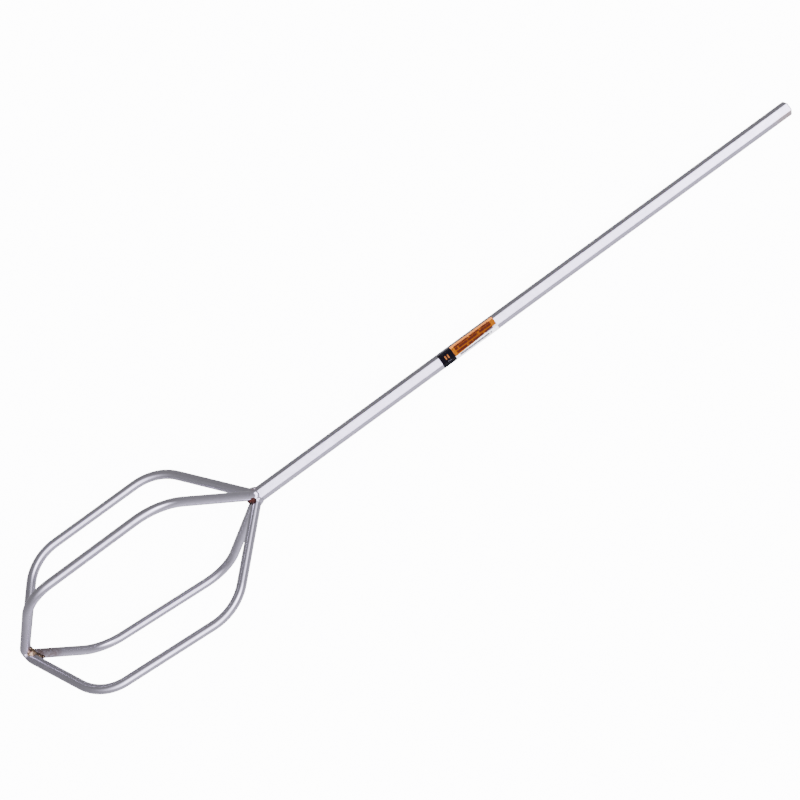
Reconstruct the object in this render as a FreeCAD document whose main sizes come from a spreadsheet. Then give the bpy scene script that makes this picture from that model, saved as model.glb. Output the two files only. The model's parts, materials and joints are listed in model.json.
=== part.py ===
"""Mortar mixing paddle, lying on a flat surface.

A hexagonal bar is the drive shaft. A cage of four bent round rod legs is welded round its lower end.
Two opposite legs are one rod, bent into a complete loop with a bend at the tip of the cage. The other
two are half loops, set at right angles to it, whose ends level out and are welded to the sides of that
bend.
The cage leans a little to one side of the shaft's line, and a printed label is wrapped on the shaft.

Every piece is drawn in the tool's own axes: the origin is the hub point, where the centre lines of
the legs meet the shaft's axis, +Z runs along the shaft to the shank end, and +X points to the loop's
first leg. One placement then lays the finished tool down on three points, two legs and the shank.
"""
import FreeCAD, Part
import math
import os

import Sketcher
from FreeCAD import Placement, Rotation, Vector

DIMENSIONS = (
    ("shaft_flats", 11.11, "hexagonal shaft across its flats, 7/16 in bar"),
    ("shaft_reach", 528.0, "hub point to the shank end"),
    ("shaft_root", 6.5, "hub point to the shaft's welded end"),
    ("shank_chamfer", 0.8, "chamfer round the shank end"),
    ("rod_diameter", 7.94, "cage rod, 5/16 in"),
    ("leg_start", 3.0, "axis to the end of each leg's centre line, inside the shaft's outline"),
    ("upper_radius", 74.5, "axis to the corner of the upper shoulders"),
    ("upper_drop", 60.5, "hub point down to the upper shoulders"),
    ("loop_radius", 70.0, "axis to the corner of the loop's lower shoulders"),
    ("half_radius", 65.5, "axis to the corner of the half loops' lower shoulders"),
    ("lower_drop", 183.0, "hub point down to the lower shoulders"),
    ("tip_drop", 223.5, "hub point down to the corner at the tip"),
    ("half_end", 1.0, "axis to the end of a half loop's centre line, inside the loop"),
    ("upper_bend", 43.0, "bend radius of the upper shoulders"),
    ("lower_bend", 39.0, "bend radius of the lower shoulders"),
    ("tip_bend", 18.0, "bend radius of the loop's tip"),
    ("half_tip_bend", 11.5, "bend radius where a half loop levels out at the tip"),
    ("cage_lean", 2.3, "angle between the cage's axis and the shaft's"),
    ("lean_azimuth", 65.0, "side the tip leans to, from the loop's first leg"),
    ("hub_weld", 5.0, "radius of the weld over each leg at the shaft"),
    ("hub_weld_offset", 3.6, "axis to the middle of those welds"),
    ("hub_weld_drop", 1.9, "hub point down to the middle of those welds"),
    ("root_weld_width", 8.4, "radius of the weld between the legs at the shaft's end"),
    ("root_weld_depth", 4.0, "half height of the weld between the legs"),
    ("tip_weld", 4.6, "radius of the weld in each inner corner of the tip"),
    ("tip_weld_offset", 3.3, "axis to the middle of those welds"),
    ("tip_weld_drop", 217.0, "hub point down to the middle of those welds"),
    ("label_start", 181.0, "hub point to the label's lower edge"),
    ("label_length", 54.0, "length of the label along the shaft"),
    ("label_film", 0.15, "thickness of the label"),
    ("label_margin", 3.0, "bare strip beside the label on its first flat"),
)

CENTRE_LINE_POINTS = 2000
SETTLING_STEPS = 12

doc = FreeCAD.newDocument("mixing_paddle")
sheet = doc.addObject("Spreadsheet::Sheet", "dims")
for row, (alias, number, meaning) in enumerate(DIMENSIONS, start=1):
    sheet.set(f"A{row}", meaning)
    sheet.set(f"B{row}", str(number))
    sheet.setAlias(f"B{row}", alias)
doc.recompute()


def size(alias):
    """Value of one driving dimension."""
    return float(sheet.get(alias))


def bind(item, prop, formula):
    """Bind a property or a named constraint to the sheet."""
    item.setExpression(prop, formula)


def origin_plane(body, role):
    """One of a body's own origin planes."""
    return next(plane for plane in body.Origin.OriginFeatures if plane.Role == role)


def new_sketch(body, name, role):
    """Empty sketch on one of the body's origin planes."""
    sketch = body.newObject("Sketcher::SketchObject", name)
    sketch.AttachmentSupport = [(origin_plane(body, role), "")]
    sketch.MapMode = "FlatFace"
    return sketch


def constrain(sketch, kind, *places, name=None, formula=None):
    """Add a constraint. A dimension gets a name and an expression too."""
    index = sketch.addConstraint(Sketcher.Constraint(kind, *places))
    if name:
        sketch.renameConstraint(index, name)
        bind(sketch, f"Constraints.{name}", formula)
    return index


# ---------------------------------------------------------------- shaft

def make_shaft():
    """Hexagonal bar with two flats facing the loop's legs and a chamfer at the shank end."""
    body = doc.addObject("PartDesign::Body", "hex_shaft")
    sketch = new_sketch(body, "shaft_section", "XY_Plane")
    bind(sketch, "AttachmentOffset.Base.z", "-dims.shaft_root")
    corner_radius = size("shaft_flats") / math.sqrt(3)
    circle = sketch.addGeometry(Part.Circle(Vector(0, 0, 0), Vector(0, 0, 1), corner_radius), True)
    constrain(sketch, "Coincident", circle, 3, -1, 1)
    corners = [
        Vector(corner_radius * math.cos(angle), corner_radius * math.sin(angle), 0)
        for angle in (math.radians(60 * step - 30) for step in range(6))
    ]
    sides = [
        sketch.addGeometry(Part.LineSegment(start, corners[(step + 1) % 6]), False)
        for step, start in enumerate(corners)
    ]
    for step, side in enumerate(sides):
        constrain(sketch, "Coincident", side, 2, sides[(step + 1) % 6], 1)
        constrain(sketch, "PointOnObject", side, 1, circle)
        if step:
            constrain(sketch, "Equal", sides[0], side)
    constrain(sketch, "Vertical", sides[0])
    constrain(sketch, "Radius", circle, corner_radius,
              name="corner_radius", formula="dims.shaft_flats / sqrt(3)")

    bar = body.newObject("PartDesign::Pad", "shaft_bar")
    bar.Profile = sketch
    bind(bar, "Length", "dims.shaft_reach + dims.shaft_root")
    doc.recompute()

    end_face = max(range(len(bar.Shape.Faces)), key=lambda i: bar.Shape.Faces[i].CenterOfMass.z)
    chamfer = body.newObject("PartDesign::Chamfer", "shank_edge")
    chamfer.Base = (bar, [f"Face{end_face + 1}"])
    bind(chamfer, "Size", "dims.shank_chamfer")
    body.Tip = chamfer
    return body


# ---------------------------------------------------------------- cage rods

def rounded_path(points, radii):
    """Straight runs joined by tangent arcs: for each corner, where its arc starts, is centred and ends."""
    bends = []
    for before, corner, after, radius in zip(points, points[1:], points[2:], radii):
        back = (before - corner).normalize()
        ahead = (after - corner).normalize()
        half_angle = back.getAngle(ahead) / 2
        reach = radius / math.tan(half_angle)
        centre = corner + (back + ahead).normalize() * (radius / math.sin(half_angle))
        bends.append((corner + back * reach, centre, corner + ahead * reach))
    return bends


def arc_between(centre, start, finish, turns_left):
    """Arc of less than half a turn between two points, drawn anticlockwise as a sketch wants it."""
    arms = (start - centre, finish - centre) if turns_left else (finish - centre, start - centre)
    angles = [math.atan2(arm.y, arm.x) for arm in arms]
    return Part.ArcOfCircle(Part.Circle(centre, Vector(0, 0, 1), arms[0].Length), *angles)


def draw_path(sketch, corners, radii, ends):
    """Draw a rod's centre line: lines through corner points, with a tangent arc inside each corner.

    corners holds (x formula, z formula) pairs, radii one sheet alias per inner corner, and ends the
    two x formulas where the first and the last line stop.
    """
    def value(formula):
        return float(sheet.evalExpression(formula))

    points = [Vector(value(x), value(z), 0) for x, z in corners]
    bends = rounded_path(points, [size(alias) for alias in radii])
    marks = []
    for number, (point, (x_formula, z_formula)) in enumerate(zip(points, corners)):
        mark = sketch.addGeometry(Part.Point(point), True)
        constrain(sketch, "DistanceX", -1, 1, mark, 1, point.x, name=f"x{number}", formula=x_formula)
        constrain(sketch, "DistanceY", -1, 1, mark, 1, point.y, name=f"z{number}", formula=z_formula)
        marks.append(mark)

    def at_x(start, finish, x):
        return start + (finish - start) * ((x - start.x) / (finish.x - start.x))

    stops = [at_x(points[0], points[1], value(ends[0])), at_x(points[-2], points[-1], value(ends[1]))]
    starts = [stops[0]] + [bend[2] for bend in bends]
    finishes = [bend[0] for bend in bends] + [stops[1]]
    runs = []
    for number, (start, finish) in enumerate(zip(starts, finishes)):
        run = sketch.addGeometry(Part.LineSegment(start, finish), False)
        constrain(sketch, "PointOnObject", marks[number], 1, run)
        constrain(sketch, "PointOnObject", marks[number + 1], 1, run)
        runs.append(run)
    for number, (start, centre, finish) in enumerate(bends):
        turns_left = (start - centre).cross(finish - centre).z > 0
        first, last = (1, 2) if turns_left else (2, 1)
        bend = sketch.addGeometry(arc_between(centre, start, finish, turns_left), False)
        constrain(sketch, "Tangent", runs[number], 2, bend, first)
        constrain(sketch, "Tangent", bend, last, runs[number + 1], 1)
        constrain(sketch, "Radius", bend, (start - centre).Length,
                  name=f"bend{number}", formula=f"dims.{radii[number]}")
    constrain(sketch, "DistanceX", -1, 1, runs[0], 1, stops[0].x, name="first_end", formula=ends[0])
    constrain(sketch, "DistanceX", -1, 1, runs[-1], 2, stops[1].x, name="last_end", formula=ends[1])


def make_bar(name, corners, radii, ends, azimuth):
    """Round bar swept along its centre line, then turned to its place round the cage's axis."""
    body = doc.addObject("PartDesign::Body", name)
    path = new_sketch(body, f"{name}_path", "XZ_Plane")
    draw_path(path, corners, radii, ends)

    section = new_sketch(body, f"{name}_section", "XY_Plane")
    section.AttachmentOffset = Placement(Vector(), Rotation(Vector(0, 1, 0), 90))
    bind(section, "AttachmentOffset.Base.x", "dims.leg_start")
    bind(section, "AttachmentOffset.Base.z", "-dims.leg_start * dims.upper_drop / dims.upper_radius")
    bind(section, "AttachmentOffset.Rotation.Angle", "atan2(dims.upper_radius; -dims.upper_drop)")
    circle = sketch_circle(section, size("rod_diameter") / 2)
    constrain(section, "Radius", circle, size("rod_diameter") / 2,
              name="rod_radius", formula="dims.rod_diameter / 2")

    bar = body.newObject("PartDesign::AdditivePipe", f"{name}_sweep")
    bar.Profile = section
    bar.Spine = path
    body.Tip = bar
    body.Placement = lean_placement() * Placement(Vector(), Rotation(Vector(0, 0, 1), azimuth))
    return body


def sketch_circle(sketch, radius):
    """Circle about a sketch's origin."""
    circle = sketch.addGeometry(Part.Circle(Vector(0, 0, 0), Vector(0, 0, 1), radius), False)
    constrain(sketch, "Coincident", circle, 3, -1, 1)
    return circle


def lean_placement():
    """Turn about the hub point that leans the cage's tip towards the lean azimuth."""
    hinge_angle = math.radians(size("lean_azimuth") + 90)
    hinge = Vector(math.cos(hinge_angle), math.sin(hinge_angle), 0)
    return Placement(Vector(), Rotation(hinge, -size("cage_lean")))


HUB = ("0", "0")
UPPER = ("dims.upper_radius", "-dims.upper_drop")
LOOP_LOWER = ("dims.loop_radius", "-dims.lower_drop")
HALF_LOWER = ("dims.half_radius", "-dims.lower_drop")
TIP = ("0", "-dims.tip_drop")
TIP_RISE = "dims.tip_bend * (sqrt(1 + ((dims.tip_drop - dims.lower_drop) / dims.loop_radius)^2) - 1)"
LEVEL = f"{TIP_RISE} - dims.tip_drop"
HALF_KNEE = (f"dims.half_radius * {TIP_RISE} / (dims.tip_drop - dims.lower_drop)", LEVEL)


def across(corner):
    """The same corner on the other side of the axis."""
    return (f"-{corner[0]}", corner[1])


def make_loop():
    """The full loop: leg, shoulders, run, tip bend and back up the other side."""
    corners = [HUB, UPPER, LOOP_LOWER, TIP, across(LOOP_LOWER), across(UPPER), HUB]
    radii = ["upper_bend", "lower_bend", "tip_bend", "lower_bend", "upper_bend"]
    return make_bar("loop_bar", corners, radii, ("dims.leg_start", "-dims.leg_start"), 0)


def make_half(number, azimuth):
    """One half loop, which levels out with the full loop's tip and stops at its side."""
    corners = [HUB, UPPER, HALF_LOWER, HALF_KNEE, ("0", LEVEL)]
    radii = ["upper_bend", "lower_bend", "half_tip_bend"]
    return make_bar(f"half_bar_{number}", corners, radii, ("dims.leg_start", "dims.half_end"), azimuth)


# ---------------------------------------------------------------- cutting and welds

def trimmed(name, solid, cutters):
    """The solid with every cutter taken away, as one object of the document."""
    result = solid
    for number, cutter in enumerate(cutters, start=1):
        cut = doc.addObject("Part::Cut", name if number == len(cutters) else f"{name}_cut_{number}")
        cut.Base = result
        cut.Tool = cutter
        result = cut
    return result


def make_seat():
    """Plain outline of the shaft, which trims whatever is fitted round it."""
    seat = doc.addObject("Part::Prism", "shaft_seat")
    seat.Polygon = 6
    seat.Placement = Placement(Vector(0, 0, 0), Rotation(Vector(0, 0, 1), 30))
    bind(seat, "Circumradius", "dims.shaft_flats / sqrt(3)")
    bind(seat, "Height", "dims.shaft_reach + dims.shaft_root")
    bind(seat, "Placement.Base.z", "-dims.shaft_root")
    return seat


def weld_ball(name, weld, azimuth):
    """Ball of weld metal in the cage, on one side of its axis."""
    ball = doc.addObject("Part::Sphere", name)
    bind(ball, "Radius", f"dims.{weld}")
    turned = Rotation(Vector(0, 0, 1), azimuth).multVec(Vector(size(f"{weld}_offset"), 0, 0))
    lowered = turned - Vector(0, 0, size(f"{weld}_drop"))
    ball.Placement = lean_placement() * Placement(lowered, Rotation())
    return ball


def make_root_ball():
    """Squat ball of weld metal round the shaft's end, between the legs."""
    ball = doc.addObject("Part::Ellipsoid", "root_ball")
    bind(ball, "Radius1", "dims.root_weld_depth")
    bind(ball, "Radius2", "dims.root_weld_width")
    bind(ball, "Radius3", "dims.root_weld_width")
    bind(ball, "Placement.Base.z", "-dims.shaft_root - dims.root_weld_depth / 4")
    return ball


def make_cage():
    """Rods and welds, trimmed so that no two of them share any space."""
    seat = make_seat()
    loop = make_loop()
    halves = [make_half(1, 90), make_half(2, 270)]
    rods = [loop] + halves
    root = make_root_ball()

    pieces = [trimmed("loop_rod", loop, [seat])]
    for number, half in enumerate(halves, start=1):
        pieces.append(trimmed(f"half_loop_rod_{number}", half, [seat, loop]))
    pieces.append(trimmed("root_weld", root, [seat] + rods))

    balls = [weld_ball(f"hub_ball_{turn + 1}", "hub_weld", 90 * turn) for turn in range(4)]
    for turn, ball in enumerate(balls):
        beside = [balls[0], balls[2]] if turn % 2 else []
        pieces.append(trimmed(f"hub_weld_{turn + 1}", ball, [seat, root] + rods + beside))

    near, far = (weld_ball(f"tip_ball_{number}", "tip_weld", 180 * number) for number in (1, 2))
    pieces.append(trimmed("tip_weld_1", near, rods))
    pieces.append(trimmed("tip_weld_2", far, rods + [near]))
    return pieces


# ---------------------------------------------------------------- label

def make_label():
    """Thin label wrapped over the shaft's flats, bare along one strip and open at the back."""
    outer = doc.addObject("Part::Prism", "label_outer")
    inner = doc.addObject("Part::Prism", "label_inner")
    for prism, film in ((outer, "dims.label_film"), (inner, "0")):
        prism.Polygon = 6
        prism.Placement = Placement(Vector(), Rotation(Vector(0, 0, 1), 30))
        bind(prism, "Circumradius", f"(dims.shaft_flats + 2 * {film}) / sqrt(3)")
        bind(prism, "Height", "dims.label_length")
        bind(prism, "Placement.Base.z", "dims.label_start")
    gap = doc.addObject("Part::Box", "label_gap")
    gap.Placement = Placement(Vector(), Rotation(Vector(0, 0, 1), -30))
    edge = "(dims.shaft_flats / sqrt(12) - dims.label_margin)"
    bind(gap, "Placement.Base.x", f"{edge} * cos(30) - dims.shaft_flats * sin(30)")
    bind(gap, "Placement.Base.y", f"-{edge} * sin(30) - dims.shaft_flats * cos(30)")
    bind(gap, "Placement.Base.z", "dims.label_start")
    bind(gap, "Length", "dims.shaft_flats")
    bind(gap, "Width", "2 * dims.shaft_flats")
    bind(gap, "Height", "dims.label_length")
    return trimmed("product_label", outer, [inner, gap])


# ---------------------------------------------------------------- resting place

def centre_line(path_name, body_name):
    """Points along a rod's centre line, in the tool's axes."""
    placement = doc.getObject(body_name).Placement
    wire = doc.getObject(path_name).Shape.Wires[0]
    return [placement.multVec(point) for point in wire.discretize(CENTRE_LINE_POINTS)]


def lowest(points, down, radius):
    """Lowest surface point of a round bar, or of plain corners if the radius is zero."""
    return max(points, key=down.dot) + down * radius


def resting_rotation():
    """Turn that lays the tool on the loop's first leg, the second half loop and the shank end."""
    rod_radius = size("rod_diameter") / 2
    loop_leg = [point for point in centre_line("loop_bar_path", "loop_bar") if point.x > 0]
    half_leg = centre_line("half_bar_2_path", "half_bar_2")
    corner_radius = size("shaft_flats") / math.sqrt(3)
    shank_corners = [
        Vector(corner_radius * math.cos(angle), corner_radius * math.sin(angle),
               size("shaft_reach") - size("shank_chamfer"))
        for angle in (math.radians(60 * step - 30) for step in range(6))
    ]
    down = Vector(1, -1, 0).normalize()
    for _ in range(SETTLING_STEPS):
        first = lowest(loop_leg, down, rod_radius)
        second = lowest(half_leg, down, rod_radius)
        shank = lowest(shank_corners, down, 0)
        normal = (second - first).cross(shank - first).normalize()
        down = normal if normal.dot(down) > 0 else -normal
    up = -down
    shaft_line = Vector(0, 0, 1)
    forward = (shaft_line - up * shaft_line.dot(up)).normalize()
    sideways = up.cross(forward)
    return Rotation(forward, sideways, up, "XYZ").inverted()


def lay_down(pieces):
    """Give every piece the one placement that rests the tool on z = 0, centred on the origin."""
    rotation = resting_rotation()
    for piece in pieces:
        piece.Placement = Placement(Vector(), rotation)
    doc.recompute()
    box = Part.makeCompound([piece.Shape for piece in pieces]).optimalBoundingBox(False, False)
    shift = Vector(-box.Center.x, -box.Center.y, -box.ZMin)
    for piece in pieces:
        piece.Placement = Placement(shift, rotation)
    doc.recompute()


def check(pieces):
    """Stop if any object failed or any piece isn't a sound solid."""
    failed = [item.Name for item in doc.Objects if {"Invalid", "Error"} & set(item.State)]
    failed += [piece.Label for piece in pieces if piece.Shape.isNull() or not piece.Shape.isValid()]
    failed += [piece.Label for piece in pieces if len(piece.Shape.Solids) != 1]
    if failed:
        raise RuntimeError(f"failed: {', '.join(failed)}")


def main():
    """Build, lay down, check and write every piece."""
    pieces = [make_shaft()] + make_cage() + [make_label()]
    doc.recompute()
    lay_down(pieces)
    check(pieces)
    os.makedirs("parts", exist_ok=True)
    for piece in pieces:
        piece.Shape.exportStep(f"parts/{piece.Label}.step")
        box = piece.Shape.optimalBoundingBox(False, False)
        print(f"{piece.Label:20} {piece.Shape.Volume:10.1f} mm3, lowest {box.ZMin:7.3f}")


main()
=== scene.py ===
"""Looks of the mortar mixing paddle: a plated hexagonal shaft with a welded cage of bent rods."""

import json
import math

import bmesh
import bpy
from mathutils import Matrix, Vector, noise


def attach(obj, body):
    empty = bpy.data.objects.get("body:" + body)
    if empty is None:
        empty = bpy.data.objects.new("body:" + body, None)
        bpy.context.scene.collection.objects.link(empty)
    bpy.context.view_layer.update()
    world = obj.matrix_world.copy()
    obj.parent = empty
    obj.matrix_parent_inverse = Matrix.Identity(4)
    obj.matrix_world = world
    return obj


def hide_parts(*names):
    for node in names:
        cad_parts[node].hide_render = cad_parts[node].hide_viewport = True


MM = 0.001

# The tool's own axes: the hub point on the shaft, +Z along it to the shank, +X to the loop's first leg.
SHAFT_REACH = 528.0
TOOL_ROLL = -44.54
CAGE_LEAN = 2.3
LEAN_AZIMUTH = 65.0
SHAFT_FLATS = 11.11
SHAFT_ROOT = 6.5
ROD_RADIUS = 3.97
LEG_SLOPE = (74.5, -60.5)

LABEL_START = 181.0
LABEL_LENGTH = 54.0
LABEL_FILM = 0.15
LABEL_MARGIN = 3.0

# A weld's lumps overlap, are fused on a fine grid and then relaxed. Sizes are in millimetres.
VOXEL = 0.22
RELAX_STEPS = 4
BEAD_STEP = 11
BEAD_REACH = 115

# The camera looks straight down its own axis at a point near the middle. Angles are in degrees.
VIEW_AZIMUTH = 76.195
VIEW_ELEVATION = 74.827
VIEW_ROLL = 158.32
VIEW_DISTANCE = 1.1945
VIEW_AIM = Vector((-0.01566, -0.01137, 0.02971))
LENS_MM = 66.55

# Soft boxes: direction, half width in degrees and strength. One hangs overhead and one over the
# shank end, and a wide weak one fills in from the -Y side, a little below the tool.
OVERHEAD = ((0.0, 0.0, 1.0), 25, 6.0)
OVER_SHANK = ((0.6, 0.2, 0.8), 16, 9.0)
SIDE_FILL = ((0.0, -1.0, -0.2), 60, 0.7)
COOL_LIGHT = Vector((1.05, 1.0, 1.2))
BOX_EDGE = 2.0
AMBIENT = 0.28
FLOOR_GLOW = 12.0

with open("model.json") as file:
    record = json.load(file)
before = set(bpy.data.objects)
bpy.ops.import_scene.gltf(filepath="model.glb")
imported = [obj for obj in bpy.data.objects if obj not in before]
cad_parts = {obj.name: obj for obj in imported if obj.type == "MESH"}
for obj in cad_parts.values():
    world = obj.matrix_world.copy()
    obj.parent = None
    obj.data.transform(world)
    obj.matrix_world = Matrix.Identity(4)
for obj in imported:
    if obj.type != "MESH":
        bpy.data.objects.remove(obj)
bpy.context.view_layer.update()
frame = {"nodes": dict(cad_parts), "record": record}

shank = next(mount for mount in frame["record"]["mounts"] if mount["name"] == "shank_end")
TOOL_Z = Vector(shank["axis"])
HUB = Vector(shank["pos_m"]) - TOOL_Z * SHAFT_REACH * MM
LEVEL = Vector((0, 0, 1)).cross(TOOL_Z).normalized()
TOOL_X = Matrix.Rotation(math.radians(TOOL_ROLL), 3, TOOL_Z) @ LEVEL
TOOL_Y = TOOL_Z.cross(TOOL_X)
TOOL_AXES = Matrix((TOOL_X, TOOL_Y, TOOL_Z)).transposed()


# ---------------------------------------------------------------- places in the tool

def lean():
    """Turn that leans the cage away from the shaft's line."""
    hinge_angle = math.radians(LEAN_AZIMUTH + 90)
    hinge = Vector((math.cos(hinge_angle), math.sin(hinge_angle), 0))
    return Matrix.Rotation(math.radians(-CAGE_LEAN), 3, hinge)


def cage_point(azimuth, offset, drop):
    """Point of the cage in the tool's axes, in millimetres."""
    angle = math.radians(azimuth)
    return lean() @ Vector((offset * math.cos(angle), offset * math.sin(angle), -drop))


def to_scene(point):
    """Scene position of a point in the tool's axes."""
    return HUB + (TOOL_X * point.x + TOOL_Y * point.y + TOOL_Z * point.z) * MM


# ---------------------------------------------------------------- shader nodes

def feed(tree, socket, value):
    """Link a socket to another one, or set its constant."""
    if isinstance(value, bpy.types.NodeSocket):
        tree.links.new(value, socket)
    else:
        socket.default_value = value


def maths(tree, operation, *values):
    """Output of a math node."""
    node = tree.nodes.new("ShaderNodeMath")
    node.operation = operation
    for socket, value in zip(node.inputs, values):
        feed(tree, socket, value)
    return node.outputs[0]


def vectors(tree, operation, *values):
    """Output of a vector math node, which is a number for dot products and distances."""
    node = tree.nodes.new("ShaderNodeVectorMath")
    node.operation = operation
    for socket, value in zip(node.inputs, values):
        feed(tree, socket, value)
    is_number = operation in ("DOT_PRODUCT", "DISTANCE", "LENGTH")
    return node.outputs["Value" if is_number else "Vector"]


def scaled(tree, vector, factor):
    """A vector socket times a number."""
    node = tree.nodes.new("ShaderNodeVectorMath")
    node.operation = "SCALE"
    feed(tree, node.inputs[0], vector)
    feed(tree, node.inputs["Scale"], factor)
    return node.outputs["Vector"]


def step(tree, value, low, high, bottom=0.0, top=1.0):
    """Smooth change from bottom to top while the value goes from low to high."""
    node = tree.nodes.new("ShaderNodeMapRange")
    node.interpolation_type = "SMOOTHSTEP"
    for name, given in zip(("Value", "From Min", "From Max", "To Min", "To Max"),
                           (value, low, high, bottom, top)):
        feed(tree, node.inputs[name], given)
    return node.outputs["Result"]


def mixed(tree, factor, first, second):
    """Colour between two colours."""
    node = tree.nodes.new("ShaderNodeMix")
    node.data_type = "RGBA"
    feed(tree, node.inputs[0], factor)
    for socket, value in zip((node.inputs[6], node.inputs[7]), (first, second)):
        feed(tree, socket, value if isinstance(value, bpy.types.NodeSocket) else (*value, 1.0))
    return node.outputs[2]


def grain(tree, place, size, detail=2.0, stretch=(1, 1, 1)):
    """Noise from 0 to 1 with features of about the given size in millimetres."""
    node = tree.nodes.new("ShaderNodeTexNoise")
    shaped = vectors(tree, "MULTIPLY", place, stretch)
    feed(tree, node.inputs["Vector"], shaped)
    feed(tree, node.inputs["Scale"], 1.0 / size)
    feed(tree, node.inputs["Detail"], detail)
    return node.outputs[0]


def tool_place(tree):
    """Position in the tool's own axes, in millimetres."""
    texture = tree.nodes.new("ShaderNodeTexCoord")
    offset = vectors(tree, "SUBTRACT", texture.outputs["Object"], HUB)
    joined = tree.nodes.new("ShaderNodeCombineXYZ")
    for socket, axis in zip(joined.inputs, (TOOL_X, TOOL_Y, TOOL_Z)):
        feed(tree, socket, vectors(tree, "DOT_PRODUCT", offset, axis / MM))
    return joined.outputs[0]


def new_material(name):
    """Material with an empty Principled surface: its tree and the surface node."""
    material = bpy.data.materials.new(name)
    material.use_nodes = True
    tree = material.node_tree
    return material, tree, tree.nodes["Principled BSDF"]


def bump(tree, height, distance, strength=1.0, normal=None):
    """Normal disturbed by a height field, with its depth in millimetres."""
    node = tree.nodes.new("ShaderNodeBump")
    feed(tree, node.inputs["Height"], height)
    feed(tree, node.inputs["Distance"], distance * MM)
    feed(tree, node.inputs["Strength"], strength)
    if normal is not None:
        feed(tree, node.inputs["Normal"], normal)
    return node.outputs["Normal"]


def softened(tree, radius):
    """Normal that rounds sharp edges off by a radius in millimetres."""
    node = tree.nodes.new("ShaderNodeBevel")
    node.samples = 4
    feed(tree, node.inputs["Radius"], radius * MM)
    return node.outputs["Normal"]


def near(tree, place, centre, inner, outer):
    """1 within the inner distance of a point in the tool's axes, fading to 0 at the outer distance."""
    return step(tree, vectors(tree, "DISTANCE", place, centre), inner, outer, 1.0, 0.0)


def inside(tree, value, low, high, soft=0.05):
    """1 while the value lies between two limits."""
    above = step(tree, value, low - soft, low + soft)
    below = step(tree, value, high - soft, high + soft, 1.0, 0.0)
    return maths(tree, "MULTIPLY", above, below)


# ---------------------------------------------------------------- materials

ZINC = (0.73, 0.70, 0.80)
ZINC_DULL = (0.65, 0.625, 0.71)
STRAW = (0.62, 0.44, 0.27)
# The pale cream below is a painted glint on the tip nugget.
GLINT_CREAM = (0.58, 0.41, 0.26)
BROWN = (0.17, 0.10, 0.075)
DARK_BROWN = (0.045, 0.026, 0.022)
BLUSH = (0.66, 0.47, 0.52)
TARNISH = (0.30, 0.235, 0.22)
TIP_DARK_TONE = (0.58, 0.55, 0.63)
RUST = (0.050, 0.015, 0.012)
RUST_LIGHT = (0.085, 0.026, 0.018)
SCALE = (0.012, 0.006, 0.006)

# A darker tone over the plate round the tip weld: full strength within the first distance, none past the
# second.
TIP_DARK_DROP = 218.0
TIP_DARK_REACH = (20.0, 75.0)


def plate(tree, surface, place, tints, satin, lines=(1, 1, 1), rounding=None):
    """Zinc plate: cloudy, finely scratched, pitted, tinted by heat and made darker where masks say so.

    tints holds (mask, colour) pairs, satin is the least roughness, lines the stretch of the scratches
    and rounding the radius of the edges in millimetres.
    """
    clouds = grain(tree, place, 7.0, 3.0)
    spangle = grain(tree, place, 1.6, 2.0)
    scratches = grain(tree, place, 0.45, 3.0, lines)
    pits = step(tree, grain(tree, place, 0.9, 1.0), 0.66, 0.74)
    dulling = maths(tree, "MULTIPLY_ADD", step(tree, spangle, 0.35, 0.7), 0.45,
                    maths(tree, "MULTIPLY", step(tree, clouds, 0.35, 0.7), 0.55))
    colour = mixed(tree, dulling, ZINC, ZINC_DULL)
    rough = maths(tree, "MULTIPLY_ADD", dulling, 0.10, satin)
    rough = maths(tree, "MULTIPLY_ADD", step(tree, scratches, 0.4, 0.75), 0.06, rough)
    for mask, tint in tints:
        colour = mixed(tree, mask, colour, tint)
        rough = maths(tree, "MULTIPLY_ADD", mask, 0.12, rough)
    colour = mixed(tree, maths(tree, "MULTIPLY", pits, 0.35), colour, BROWN)
    normal = None if rounding is None else softened(tree, rounding)
    normal = bump(tree, scratches, 0.012, 0.5, normal)
    normal = bump(tree, spangle, 0.05, 0.35, normal)
    feed(tree, surface.inputs["Base Color"], colour)
    feed(tree, surface.inputs["Metallic"], 1.0)
    feed(tree, surface.inputs["Roughness"], rough)
    feed(tree, surface.inputs["Normal"], normal)


def broken(tree, mask, place, size, amount=0.6):
    """A mask with uneven edges."""
    patches = step(tree, grain(tree, place, size, 3.0), 0.35, 0.65, 1.0 - amount, 1.0)
    return maths(tree, "MULTIPLY", mask, patches)


def spot(tree, place, centre, inner, outer, size, strength):
    """Uneven spot of heat colour round a point, as a mask."""
    mask = broken(tree, near(tree, place, centre, inner, outer), place, size, 0.7)
    return maths(tree, "MULTIPLY", mask, strength)


def tip_darkening(tree, place):
    """Mask and colour of the darker tone over the plate round the tip weld."""
    return near(tree, place, cage_point(0, 0, TIP_DARK_DROP), *TIP_DARK_REACH), TIP_DARK_TONE


def make_bar_material():
    """Plated drawn bar, with fine lines along it and a brown stain at the shank end."""
    material, tree, surface = new_material("zinc_bar")
    place = tool_place(tree)
    split = tree.nodes.new("ShaderNodeSeparateXYZ")
    feed(tree, split.inputs[0], place)
    low_side = step(tree, split.outputs["X"], -5.55, -5.0, 1.0, 0.0)
    at_end = step(tree, split.outputs["Z"], SHAFT_REACH - 26, SHAFT_REACH - 6)
    stain = broken(tree, maths(tree, "MULTIPLY", low_side, at_end), place, 2.5)
    tints = (
        (maths(tree, "MULTIPLY", stain, 0.55), STRAW),
        (spot(tree, place, (-3.0, 3.0, -SHAFT_ROOT), 2.0, 5.0, 1.5, 0.5), BROWN),
    )
    plate(tree, surface, place, tints, 0.16, lines=(1.0, 1.0, 0.03), rounding=0.8)
    return material


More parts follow.
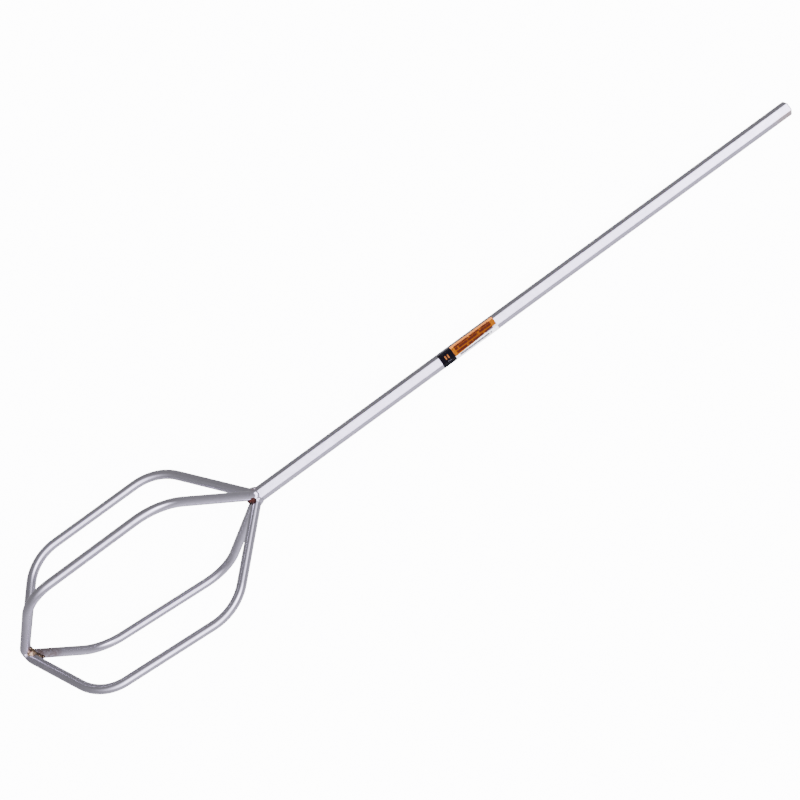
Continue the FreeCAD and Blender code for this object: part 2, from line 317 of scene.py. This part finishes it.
def make_rod_material():
    """Plated rod, darker round the tip of the cage, with heat colours there and a blush at the hub."""
    material, tree, surface = new_material("zinc_rod")
    place = tool_place(tree)
    tints = (
        # darker tone over the plate round the tip weld
        tip_darkening(tree, place),
        (spot(tree, place, cage_point(268, 14, 212), 5.0, 20.0, 3.0, 0.85), TARNISH),
        (spot(tree, place, cage_point(264, 23, 207), 1.5, 6.0, 2.0, 0.8), TARNISH),
        (spot(tree, place, cage_point(250, 10, 215), 1.5, 7.0, 1.3, 0.9), BROWN),
        (spot(tree, place, (0.5, 8.5, 0.5), 0.5, 4.0, 1.5, 0.5), BLUSH),
        (spot(tree, place, (-6.5, 2.0, -12.0), 1.5, 6.0, 2.0, 0.4), BLUSH),
    )
    plate(tree, surface, place, tints, 0.12)
    return material


def make_weld_material():
    """Weld metal under the same plate, darker round the tip, with a blush over the hub."""
    material, tree, surface = new_material("plated_weld")
    place = tool_place(tree)
    tints = (
        # darker tone over the weld metal round the tip weld
        tip_darkening(tree, place),
        (spot(tree, place, (4.0, 6.0, 1.0), 1.0, 4.5, 1.2, 0.6), BLUSH),
    )
    plate(tree, surface, place, tints, 0.22)
    return material


def make_rust_material():
    """Dark brown rust on weld metal, nearly black with scale away from the open side."""
    material, tree, surface = new_material("rusty_weld")
    place = tool_place(tree)
    flakes = grain(tree, place, 1.1, 4.0)
    red = near(tree, place, (-4.4, 6.7, -5.5), 1.6, 3.8)
    colour = mixed(tree, step(tree, flakes, 0.35, 0.7), RUST, RUST_LIGHT)
    colour = mixed(tree, broken(tree, red, place, 0.9, 0.3), SCALE, colour)
    feed(tree, surface.inputs["Base Color"], colour)
    feed(tree, surface.inputs["Roughness"], step(tree, flakes, 0.3, 0.7, 0.9, 0.65))
    feed(tree, surface.inputs["Specular IOR Level"], 0.08)
    feed(tree, surface.inputs["Normal"], bump(tree, flakes, 0.35, 0.9))
    return material


def make_tinted_material():
    """Bare weld metal in straw and brown heat colours, with a painted glint on the top of the lump."""
    material, tree, surface = new_material("tinted_weld")
    place = tool_place(tree)
    patches = grain(tree, place, 2.0, 3.0)
    # painted highlight: a pale cream patch where the nugget's glint falls
    glint_spot = near(tree, place, cage_point(148, 7.2, 217.4), 0.4, 2.8)
    crotch = maths(tree, "SUBTRACT", 1.0, near(tree, place, cage_point(150, 5.0, 218.0), 3.2, 5.0))
    colour = mixed(tree, step(tree, patches, 0.38, 0.62), STRAW, BROWN)
    colour = mixed(tree, broken(tree, crotch, place, 1.4, 0.6), colour, DARK_BROWN)
    colour = mixed(tree, glint_spot, colour, GLINT_CREAM)
    feed(tree, surface.inputs["Base Color"], colour)
    feed(tree, surface.inputs["Metallic"], 1.0)
    feed(tree, surface.inputs["Roughness"], step(tree, patches, 0.3, 0.7, 0.22, 0.40))
    feed(tree, surface.inputs["Normal"], bump(tree, patches, 0.15, 0.5))
    return material


# ---------------------------------------------------------------- welds

def link(name, mesh, material):
    """Object for a mesh with one material, shaded smooth."""
    piece = bpy.data.objects.new(name, mesh)
    mesh.materials.clear()
    mesh.materials.append(material)
    for face in mesh.polygons:
        face.use_smooth = True
    bpy.context.scene.collection.objects.link(piece)
    return piece


def fused(name, blobs, material, roughness, grain_size):
    """One closed lump made of overlapping ellipsoids, given as centres and axes in the tool's axes."""
    shape = bmesh.new()
    for centre, axes in blobs:
        place = (TOOL_AXES @ axes * MM).to_4x4()
        place.translation = to_scene(centre)
        bmesh.ops.create_icosphere(shape, subdivisions=3, radius=1.0, matrix=place)
    rough = bpy.data.meshes.new(name)
    shape.to_mesh(rough)
    shape.free()
    maker = bpy.data.objects.new(name + "_maker", rough)
    bpy.context.scene.collection.objects.link(maker)
    remesh = maker.modifiers.new("fuse", "REMESH")
    remesh.mode = "VOXEL"
    remesh.voxel_size = VOXEL * MM
    relax = maker.modifiers.new("relax", "SMOOTH")
    relax.iterations = RELAX_STEPS
    graph = bpy.context.evaluated_depsgraph_get()
    mesh = bpy.data.meshes.new_from_object(maker.evaluated_get(graph))
    bpy.data.objects.remove(maker)
    normals = [vertex.normal.copy() for vertex in mesh.vertices]
    for vertex, normal in zip(mesh.vertices, normals):
        height = noise.fractal(vertex.co / (grain_size * MM), 0.8, 2.0, 3)
        vertex.co += normal * (roughness * MM * height)
    return link(name, mesh, material)


def seam_point(azimuth, turn):
    """Where a leg's surface meets the shaft's outline, and the way its weld faces there."""
    outward = cage_point(azimuth, LEG_SLOPE[0], -LEG_SLOPE[1]).normalized()
    top = (Vector((0, 0, 1)) - outward * outward.z).normalized()
    side = outward.cross(top)
    angle = math.radians(turn)
    around = top * math.cos(angle) + side * math.sin(angle)
    best = None
    for flat in range(6):
        normal = Vector((math.cos(math.radians(60 * flat)), math.sin(math.radians(60 * flat)), 0))
        if normal.dot(outward) > 0.05:
            reach = (SHAFT_FLATS / 2 - ROD_RADIUS * around.dot(normal)) / outward.dot(normal)
            if best is None or reach < best[0]:
                best = (reach, normal)
    reach, normal = best
    return outward * reach + around * ROD_RADIUS, (around + normal).normalized()


def bead(azimuth, swell):
    """Rippled fillet over a leg where it meets the shaft."""
    seam = [seam_point(azimuth, turn) for turn in range(-BEAD_REACH, BEAD_REACH + 1, BEAD_STEP)]
    blobs = []
    for before, (point, facing), after in zip(seam, seam[1:], seam[2:]):
        if point.z < -SHAFT_ROOT - 1.0:
            continue
        along = (after[0] - before[0]).normalized()
        facing = (facing - along * facing.dot(along)).normalized()
        across = along.cross(facing)
        axes = Matrix((along * 1.15, facing * 1.3 * swell, across * 2.3 * swell)).transposed()
        blobs.append((point, axes))
    return blobs


def ball(centre, radial, tangential, upright, azimuth=0.0):
    """Ellipsoid turned to an azimuth: its centre and axes."""
    angle = math.radians(azimuth)
    outward = Vector((math.cos(angle), math.sin(angle), 0))
    sideways = Vector((-math.sin(angle), math.cos(angle), 0))
    axes = Matrix((outward * radial, sideways * tangential, Vector((0, 0, upright)))).transposed()
    return centre, axes


def dress(piece, node_name):
    """Hand a modelled piece over in place of its CAD node."""
    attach(piece, "root")
    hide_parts(node_name)


BEAD_SWELLS = (1.5, 1.0, 1.1, 1.0)
SLAG_SIDES = (45, 225, 315)
SLAG_ROW = (
    (-2.3, 5.9, -7.5),
    (-3.1, 5.6, -6.3),
    (-3.6, 5.3, -5.5),
    (-4.3, 5.1, -4.6),
    (-4.9, 5.2, -3.9),
)
SLAG_ROW_FACING = 120


def make_hub_welds(plated):
    """One fillet round each leg at the shaft, and the rusty lump between the legs."""
    for number, swell in enumerate(BEAD_SWELLS):
        name = f"hub_weld_{number + 1}"
        fillet = fused(f"{name}_bead", bead(90 * number, swell), plated, 0.05, 1.2)
        dress(fillet, name)

    lumps = [ball(Vector((0, 0, -7.6)), 4.6, 4.6, 2.2)]
    for azimuth in SLAG_SIDES:
        angle = math.radians(azimuth)
        centre = Vector((6.2 * math.cos(angle), 6.2 * math.sin(angle), -6.0))
        lumps.append(ball(centre, 1.9, 2.5, 2.1, azimuth))
    for centre in SLAG_ROW:
        lumps.append(ball(Vector(centre), 2.1, 2.1, 1.8, SLAG_ROW_FACING))
    slag = fused("root_weld_slag", lumps, make_rust_material(), 0.10, 1.6)
    dress(slag, "root_weld")


def make_tip_welds(plated):
    """Gold and brown nugget in the near corner of the tip, and plated fillets on its other sides."""
    lumps = [
        ball(cage_point(152, 4.1, 217.5), 3.8, 3.8, 3.7, 152),
        ball(cage_point(101, 3.2, 216.4), 2.0, 2.0, 2.0, 101),
        ball(cage_point(210, 5.0, 216.6), 2.6, 2.8, 2.4, 210),
        ball(cage_point(232, 8.1, 215.4), 2.1, 2.3, 1.9, 232),
        ball(cage_point(240, 11.5, 213.8), 1.6, 1.6, 1.4, 240),
    ]
    nugget = fused("tip_weld_1_nugget", lumps, make_tinted_material(), 0.14, 1.6)
    dress(nugget, "tip_weld_1")
    fillets = [ball(cage_point(0, 3.4, 219.0), 2.6, 3.2, 2.6, 0)]
    for azimuth in (129, 309):
        fillets.append(ball(cage_point(azimuth, 4.5, 221.6), 2.4, 3.0, 2.4, azimuth))
    for azimuth in (90, 270):
        fillets.append(ball(cage_point(azimuth, 3.7, 222.9), 1.5, 3.2, 1.3, azimuth))
    dress(fused("tip_weld_2_nugget", fillets, plated, 0.08, 1.6), "tip_weld_2")


# ---------------------------------------------------------------- label

# Distances along the label from its lower edge, and round the shaft from its free edge, in millimetres.
PRINT_UNIT = 100.0
BLACK_END = 12.3
ORANGE_END = 54.5
ORANGE_EDGE = 12.4
ORANGE_SKEW = 0.08
# Each row of bars: its middle, height and length of bar, and its place in the noise.
TEXT_ROWS = ((3.7, 1.5, 2.0, 43.0), (5.7, 2.0, 2.4, 3.0), (8.5, 1.9, 2.0, 17.0))
INK_BLACK = (0.004, 0.003, 0.006)
INK_ORANGE = (0.36, 0.105, 0.002)
INK_MAROON = (0.05, 0.006, 0.008)
INK_GREY = (0.09, 0.09, 0.115)
INK_TAN = (0.35, 0.12, 0.03)
FILM_WHITE = (0.94, 0.93, 0.95)


def make_label_material():
    """Printed film. Bars stand where a real label has words, and two more stand for its mark."""
    material, tree, surface = new_material("label_print")
    split = tree.nodes.new("ShaderNodeSeparateXYZ")
    feed(tree, split.inputs[0], tree.nodes.new("ShaderNodeTexCoord").outputs["UV"])
    along = maths(tree, "MULTIPLY", split.outputs["X"], PRINT_UNIT)
    around = maths(tree, "MULTIPLY", split.outputs["Y"], PRINT_UNIT)
    skewed = maths(tree, "MULTIPLY_ADD", along, ORANGE_SKEW, around)
    place = tool_place(tree)

    def patch(first, last, low, high, level=around):
        return maths(tree, "MULTIPLY", inside(tree, along, first, last), inside(tree, level, low, high))

    def words(first, last, middle, height, size, seed):
        row = tree.nodes.new("ShaderNodeCombineXYZ")
        feed(tree, row.inputs["X"], along)
        feed(tree, row.inputs["Y"], seed)
        letters = step(tree, grain(tree, row.outputs[0], size, 2.0), 0.34, 0.44)
        line = patch(first, last, middle - height / 2, middle + height / 2)
        return maths(tree, "MULTIPLY", line, letters)

    wear = grain(tree, place, 1.5, 4.0)
    colour = mixed(tree, step(tree, wear, 0.4, 0.7), FILM_WHITE, [0.96 * part for part in FILM_WHITE])
    orange = mixed(tree, step(tree, wear, 0.3, 0.7), INK_ORANGE, [0.85 * part for part in INK_ORANGE])
    colour = mixed(tree, patch(BLACK_END, ORANGE_END, -5.0, ORANGE_EDGE, skewed), colour, orange)
    block = maths(tree, "MULTIPLY", patch(BLACK_END + 3, ORANGE_END - 5, 1.5, 9.6), 0.3)
    colour = mixed(tree, block, colour, INK_MAROON)
    for middle, height, size, seed in TEXT_ROWS:
        print_row = words(BLACK_END + 2.6, ORANGE_END - 4.5, middle, height, size, seed)
        colour = mixed(tree, maths(tree, "MULTIPLY", print_row, 0.85), colour, INK_MAROON)
    colour = mixed(tree, words(BLACK_END + 4, ORANGE_END - 7, 12.7, 2.6, 4.0, 31.0), colour, INK_GREY)
    colour = mixed(tree, patch(-5.0, BLACK_END, -5.0, 30.0), colour, INK_BLACK)
    for first in (4.4, 6.8):
        colour = mixed(tree, patch(first, first + 1.2, 5.2, 8.4), colour, INK_TAN)
    colour = mixed(tree, patch(5.0, 8.0, 10.3, 10.9), colour, INK_GREY)
    feed(tree, surface.inputs["Base Color"], colour)
    feed(tree, surface.inputs["Roughness"], step(tree, wear, 0.3, 0.7, 0.55, 0.7))
    feed(tree, surface.inputs["Specular IOR Level"], 0.03)
    feed(tree, surface.inputs["Normal"], bump(tree, wear, 0.03, 0.3))
    return material


def label_outline(gap):
    """Corners of the label's cross-section at a distance off the flats, and the way round to each."""
    flat = SHAFT_FLATS / 2 + gap
    half_side = flat / math.sqrt(3)
    side = SHAFT_FLATS / math.sqrt(3)
    reach = side - LABEL_MARGIN
    corners = [(60, half_side - reach, 0.0)]
    corners += [(60 + 60 * turn, half_side, reach + side * turn) for turn in range(3)]
    corners += [(240, reach - half_side, 2 * reach + 2 * side)]
    outline = []
    for azimuth, sideways, travel in corners:
        angle = math.radians(azimuth)
        out = Vector((math.cos(angle), math.sin(angle), 0))
        turn_way = Vector((-math.sin(angle), math.cos(angle), 0))
        outline.append((out * flat + turn_way * sideways, travel))
    return outline


def make_label():
    """Printed film round four of the shaft's flats."""
    inner, outer = label_outline(0.01), label_outline(LABEL_FILM)
    mesh = bpy.data.meshes.new("label_wrap")
    shape = bmesh.new()
    layer = shape.loops.layers.uv.new("print")
    rings = []
    for height in (LABEL_START, LABEL_START + LABEL_LENGTH):
        for outline in (inner, outer):
            rings.append([
                (shape.verts.new(to_scene(point + Vector((0, 0, height)))), height - LABEL_START, travel)
                for point, travel in outline
            ])
    inner_low, outer_low, inner_high, outer_high = rings
    quads = []
    for first in range(len(inner) - 1):
        last = first + 1
        quads.append((outer_low[first], outer_low[last], outer_high[last], outer_high[first]))
        quads.append((inner_low[last], inner_low[first], inner_high[first], inner_high[last]))
        quads.append((inner_low[first], inner_low[last], outer_low[last], outer_low[first]))
        quads.append((outer_high[first], outer_high[last], inner_high[last], inner_high[first]))
    quads.append((inner_low[0], outer_low[0], outer_high[0], inner_high[0]))
    quads.append((outer_low[-1], inner_low[-1], inner_high[-1], outer_high[-1]))
    for quad in quads:
        face = shape.faces.new([corner[0] for corner in quad])
        for loop, (_, along, travel) in zip(face.loops, quad):
            loop[layer].uv = (along / PRINT_UNIT, travel / PRINT_UNIT)
    bmesh.ops.recalc_face_normals(shape, faces=shape.faces)
    shape.to_mesh(mesh)
    shape.free()
    wrap = link("label_wrap", mesh, make_label_material())
    for face in mesh.polygons:
        face.use_smooth = False
    dress(wrap, "product_label")


# ---------------------------------------------------------------- set

def make_world():
    """Soft studio light from three soft boxes, with a little light in between."""
    world = bpy.data.worlds.new("studio")
    bpy.context.scene.world = world
    world.use_nodes = True
    tree = world.node_tree
    direction = tree.nodes.new("ShaderNodeTexCoord").outputs["Generated"]
    total = (AMBIENT,) * 3
    for towards, half_width, strength in (OVERHEAD, OVER_SHANK, SIDE_FILL):
        facing = vectors(tree, "DOT_PRODUCT", direction, Vector(towards).normalized())
        spread = maths(tree, "DIVIDE", maths(tree, "ARCCOSINE", facing), math.radians(half_width))
        fading = maths(tree, "MULTIPLY", maths(tree, "POWER", spread, BOX_EDGE), -1.0)
        glow = scaled(tree, COOL_LIGHT * strength, maths(tree, "EXPONENT", fading))
        total = vectors(tree, "ADD", glow, total)
    feed(tree, tree.nodes["Background"].inputs["Color"], total)


def make_floor():
    """Pale glowing table top under the tool."""
    mesh = bpy.data.meshes.new("floor")
    shape = bmesh.new()
    bmesh.ops.create_circle(shape, cap_ends=True, segments=96, radius=8.0)
    shape.to_mesh(mesh)
    shape.free()
    floor = bpy.data.objects.new("floor", mesh)
    bpy.context.scene.collection.objects.link(floor)
    material, tree, surface = new_material("floor_paper")
    place = tree.nodes.new("ShaderNodeTexCoord").outputs["Object"]
    shade = grain(tree, place, 0.5)
    feed(tree, surface.inputs["Base Color"], mixed(tree, shade, (0.88, 0.88, 0.88), (0.9, 0.9, 0.9)))
    feed(tree, surface.inputs["Roughness"], 0.9)
    feed(tree, surface.inputs["Emission Color"], (1.0, 1.0, 1.0, 1.0))
    feed(tree, surface.inputs["Emission Strength"], FLOOR_GLOW)
    mesh.materials.append(material)
    material.cycles.emission_sampling = "NONE"
    floor.visible_glossy = False


def make_camera():
    """Camera above the tool, turned so that the shaft runs up to the right."""
    azimuth = math.radians(VIEW_AZIMUTH)
    elevation = math.radians(VIEW_ELEVATION)
    roll = math.radians(VIEW_ROLL)
    back = Vector((
        math.cos(elevation) * math.cos(azimuth),
        math.cos(elevation) * math.sin(azimuth),
        math.sin(elevation),
    ))
    level = Vector((0, 0, 1)).cross(back).normalized()
    rise = back.cross(level)
    right = level * math.cos(roll) + rise * math.sin(roll)
    up = back.cross(right)
    camera = bpy.data.objects.new("camera", bpy.data.cameras.new("camera"))
    camera.data.lens = LENS_MM
    place = Matrix((right, up, back)).transposed().to_4x4()
    place.translation = VIEW_AIM + back * VIEW_DISTANCE
    camera.matrix_world = place
    bpy.context.scene.collection.objects.link(camera)
    bpy.context.scene.camera = camera


def coat_frame():
    """Give the carried CAD pieces their plate."""
    bar, rod = make_bar_material(), make_rod_material()
    for name, node in frame["nodes"].items():
        node.data.materials.clear()
        node.data.materials.append(bar if name == "hex_shaft" else rod)


coat_frame()
plated_weld = make_weld_material()
make_hub_welds(plated_weld)
make_tip_welds(plated_weld)
make_label()
make_world()
make_floor()
make_camera()
